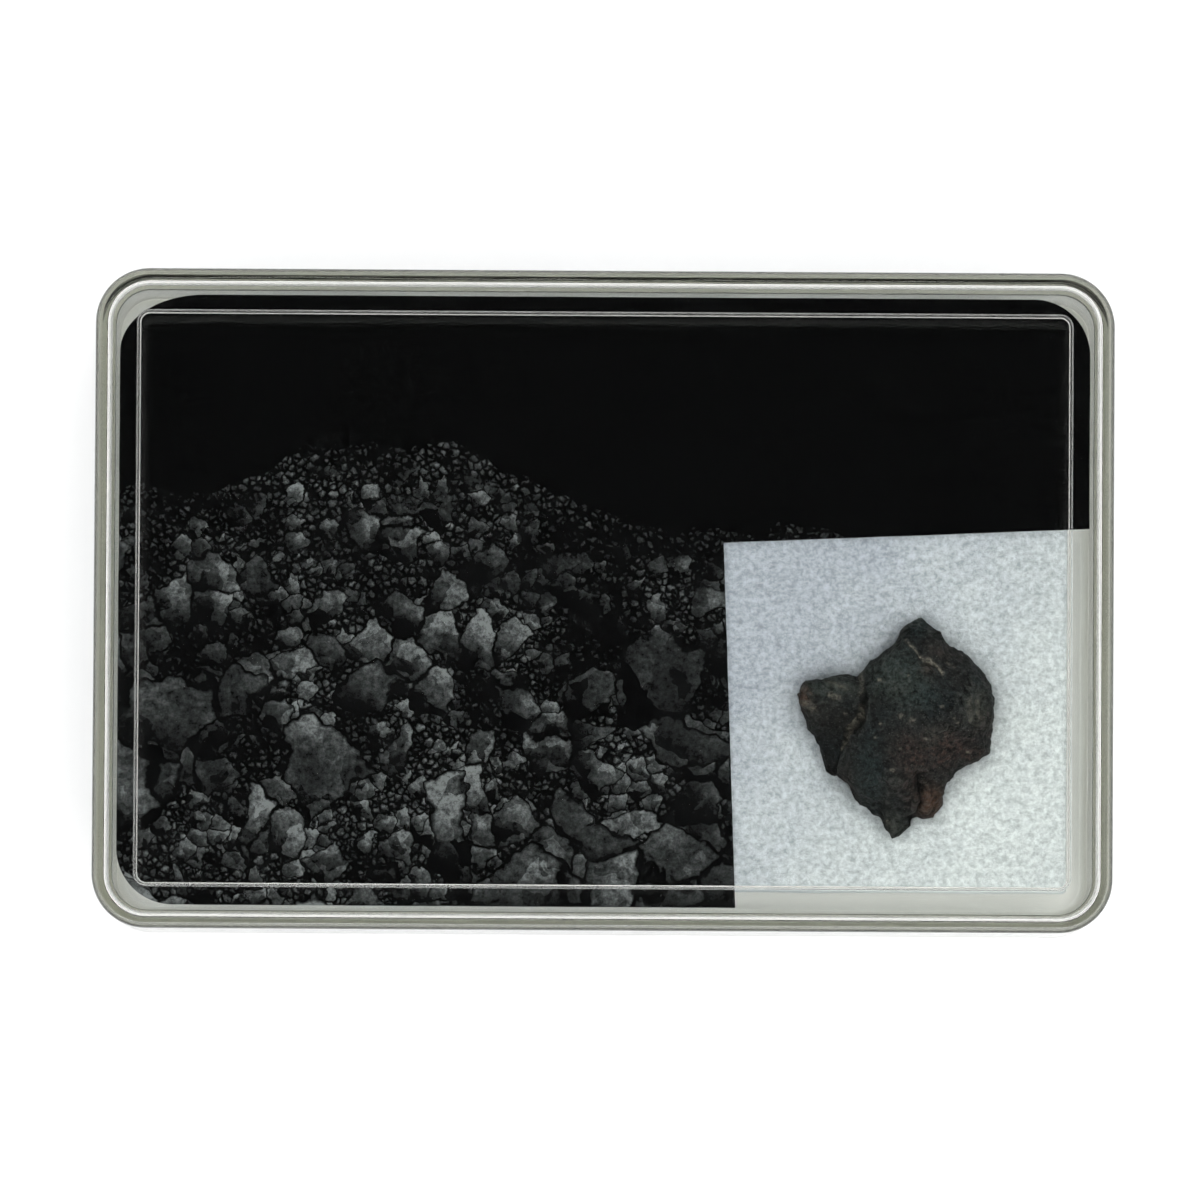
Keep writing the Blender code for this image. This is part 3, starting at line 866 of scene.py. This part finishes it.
def card_material():
    """Dark print on thin white card: a black sky over a field of broken rock."""
    n = Nodes("card_print")
    place = n.place()
    axes = n.add("ShaderNodeSeparateXYZ", {"Vector": place})
    light = (0.5, 0.85, 0.0)
    skyline = n.noise(n.vector("MULTIPLY", place, (1.0, 0.0, 0.0)), 0.09, 4.0).outputs["Fac"]
    slope = n.math("MULTIPLY_ADD", axes.outputs["X"], -0.06, 2.5)
    skyline = n.math("MULTIPLY_ADD", skyline, 9.0, slope)
    hill = n.math("DIVIDE", n.math("ADD", axes.outputs["X"], 17.0), 13.0)
    hill = n.math("EXPONENT", n.math("MULTIPLY", n.math("MULTIPLY", hill, hill), -1.0))
    skyline = n.math("MULTIPLY_ADD", hill, 6.5, skyline)
    below = n.math("SUBTRACT", skyline, axes.outputs["Y"])

    tone, edge, chance = boulders(n, place, 1.5, 3.0, light)
    picture = n.math("MULTIPLY", tone, n.ramp(edge, (0.02, 0.1), (0.25, 0.85)))
    for scale, seed, rarity, depth in ROCKS:
        tone, edge, chance = boulders(n, place, scale, seed, light)
        deep = n.ramp(n.math("DIVIDE", below, depth), (0.5, 0.0), (1.0, 1.0))
        wanted = n.math("MULTIPLY", n.math("GREATER_THAN", chance, rarity), deep)
        body = n.math("MULTIPLY", wanted, n.ramp(edge, (0.015, 0.0), (0.06, 1.0)))
        picture = n.mix(n.math("MULTIPLY", wanted, 0.8), picture, 0.03)
        picture = n.mix(body, picture, tone)
    fine = n.noise(place, 1.5, 6.0, 0.8).outputs["Fac"]
    picture = n.math("MULTIPLY", picture, n.ramp(fine, (0.32, 0.35), (0.68, 1.5)))
    patches = n.noise(place, 0.11, 4.0, 0.6).outputs["Fac"]
    picture = n.math("MULTIPLY", picture, n.ramp(patches, (0.38, 0.42), (0.62, 1.05)))
    ground = n.ramp(below, (0.0, 0.0), (0.12, 1.0))
    picture = n.math("MULTIPLY", n.math("POWER", picture, 2.2), ground)
    tint = n.ramp(picture, (0.0, (0.0015, 0.0017, 0.0018)), (1.0, (0.185, 0.200, 0.204)))

    facing = n.add("ShaderNodeNewGeometry").outputs["Normal"]
    up = n.add("ShaderNodeSeparateXYZ", {"Vector": facing}).outputs["Z"]
    colour = n.mix(n.math("GREATER_THAN", up, 0.5), 0.7, tint)
    rub = n.noise(place, 0.8, 3.0).outputs["Fac"]
    return n.finish(
        Base_Color=colour,
        Roughness=n.ramp(rub, (0.3, 0.08), (0.7, 0.15)),
        Normal=n.bump(n.noise(place, 6.0, 3.0).outputs["Fac"], 0.00002, 0.4),
        Specular_IOR_Level=0.3,
    )


def stone_material():
    """Charcoal chondrite: greenish grey, rust-stained, with pale grains, scratches and edges pale
    from wear, painted highlights on ridges and lit facets, and painted shade in hollows and on
    shaded sides.
    """
    n = Nodes("chondrite")
    place = n.place()
    patches = n.noise(place, 0.35, 3.0).outputs["Fac"]
    grain = n.noise(place, 2.2, 6.0, 0.72).outputs["Fac"]
    specks = n.noise(place, 7.0, 2.0, 0.6).outputs["Fac"]
    body = n.mix(n.ramp(patches, (0.38, 0.0), (0.62, 1.0)), CHARCOAL, BROWN_GREY)
    body = n.mix(n.math("MULTIPLY", n.painted("cool"), 0.8), body, BLUE_GREEN)
    # Olive-grey tone with painted light on the facets that face the light
    body = n.mix(n.painted("lighter"), body, OLIVE_LIT_GREY)
    rusty = n.math("MULTIPLY", n.painted("rust"), n.ramp(grain, (0.40, 0.15), (0.60, 1.0)))
    body = n.mix(rusty, body, RUST_BROWN)
    body = n.mix(n.math("MULTIPLY", n.painted("tan"), 0.85), body, TAN_BROWN)
    # Painted shade from the darker spots, in hollows and on shaded sides
    body = n.mix(n.math("MULTIPLY", n.painted("darker"), 0.65), body, PAINTED_SHADE_BLACK)
    levels = {"Value": grain, "From Min": 0.35, "From Max": 0.65, "To Min": 0.15, "To Max": 2.0}
    contrast = n.add("ShaderNodeMapRange", levels).outputs["Result"]
    body = n.vector("SCALE", body, contrast)
    body = n.mix(n.ramp(specks, (0.61, 0.0), (0.68, 0.55)), body, GRAIN_AND_HIGHLIGHT_GREY)
    # Painted shade: points that lie under their surroundings are darkened towards black
    hollow = n.painted("hollow")
    body = n.mix(n.ramp(hollow, (0.1, 0.0), (0.9, 0.75)), body, PAINTED_SHADE_BLACK)
    # Painted highlight: points that stand over their surroundings, the ridges, are lightened to grey
    # where the grain allows
    ridge_highlight = n.ramp(n.math("MULTIPLY", hollow, -1.0), (0.25, 0.0), (1.0, 0.35))
    body = n.mix(n.math("MULTIPLY", ridge_highlight, n.ramp(grain, (0.4, 0.2), (0.6, 1.0))), body, GRAIN_AND_HIGHLIGHT_GREY)
    streaks = n.noise(place, 3.5, 3.0, 0.7).outputs["Fac"]
    # Pale scratches and wear, with painted highlights along lit ridges
    pale = n.math("MULTIPLY", n.painted("pale"), n.ramp(streaks, (0.40, 0.15), (0.55, 1.0)))
    body = n.mix(pale, body, CREAM_AND_HIGHLIGHT)
    rough = n.ramp(grain, (0.3, 0.75), (0.7, 0.5))
    coarse = n.bump(grain, 0.0002, 0.7)
    fine = n.bump(specks, 0.00006, 0.6, coarse)
    return n.finish(Base_Color=body, Roughness=rough, Normal=fine, Specular_IOR_Level=0.08)


def floor_material():
    """Matt white studio floor."""
    n = Nodes("floor_white")
    grain = n.noise(n.place(), 0.02, 2.0).outputs["Fac"]
    return n.finish(Base_Color=n.ramp(grain, (0.0, 0.93), (1.0, 0.96)), Roughness=0.9)


def floor():
    """A plain pale floor under the case."""
    bm = bmesh.new()
    bmesh.ops.create_grid(bm, x_segments=1, y_segments=1, size=FLOOR_SIZE)
    obj = new_object("studio_floor", bm, floor_material())
    obj.location.z = -FLOOR_GAP


def world_light():
    """Soft white light from all round, uneven as in a room, and dark straight overhead."""
    world = bpy.data.worlds.new("studio")
    bpy.context.scene.world = world
    world.cycles.sampling_method = "NONE"
    world.use_nodes = True
    n = Nodes.over(world.node_tree)
    way = n.add("ShaderNodeTexCoord").outputs["Generated"]
    towards = n.vector("DOT_PRODUCT", way, Vector(KEY_SIDE).normalized())
    key = n.math("POWER", n.math("MAXIMUM", towards, 0.0), KEY_TIGHTNESS)
    light = n.math("MULTIPLY_ADD", key, KEY_LIGHT, SOFT_LIGHT)
    up = n.add("ShaderNodeSeparateXYZ", {"Vector": way}).outputs["Z"]
    patch = n.fall(up, math.cos(DARK_PATCH_EDGE), math.cos(DARK_PATCH), DARK_PATCH_LIGHT)
    sideways = n.vector("DOT_PRODUCT", way, Vector(SHADE_SIDE).normalized())
    shade = n.fall(sideways, SHADE_START, SHADE_END, SHADE_LIGHT)
    background = n.tree.nodes["Background"]
    n.set(background, "Color", (1.0, 1.0, 1.0, 1.0))
    low = n.math("SUBTRACT", 1.0, up)
    horizon = n.fall(low, HORIZON_START, HORIZON_END, HORIZON_LIGHT)
    shade = n.math("MULTIPLY", shade, horizon)
    n.set(background, "Strength", n.math("MULTIPLY", light, n.math("MULTIPLY", patch, shade)))


def camera():
    """Almost straight down on the case, from a little way towards its lower edge."""
    data = bpy.data.cameras.new("camera")
    data.sensor_width = SENSOR
    data.lens = SENSOR * CAMERA_DISTANCE / FRAME_WIDTH
    data.clip_start = CLIP_START
    obj = bpy.data.objects.new("camera", data)
    target = Vector((0.0, 0.0, RIM_TOP))
    back = Vector((0.0, -math.sin(CAMERA_TILT), math.cos(CAMERA_TILT)))
    obj.location = target + back * CAMERA_DISTANCE
    obj.rotation_euler = (CAMERA_TILT, 0.0, CAMERA_ROLL)
    bpy.context.scene.collection.objects.link(obj)
    bpy.context.scene.camera = obj


def main():
    """Builds camera, light and every piece."""
    camera()
    world_light()
    floor()
    plastic = clear_plastic()
    case_base(plastic)
    case_lid(plastic)
    foam_pad(foam_material())
    label_card(card_material())
    meteorite(stone_material())
    scene = bpy.context.scene
    scene.view_settings.view_transform = "Standard"
    scene.cycles.max_bounces = LIGHT_BOUNCES
    scene.cycles.transmission_bounces = LIGHT_BOUNCES
    scene.cycles.blur_glossy = 0.0


main()
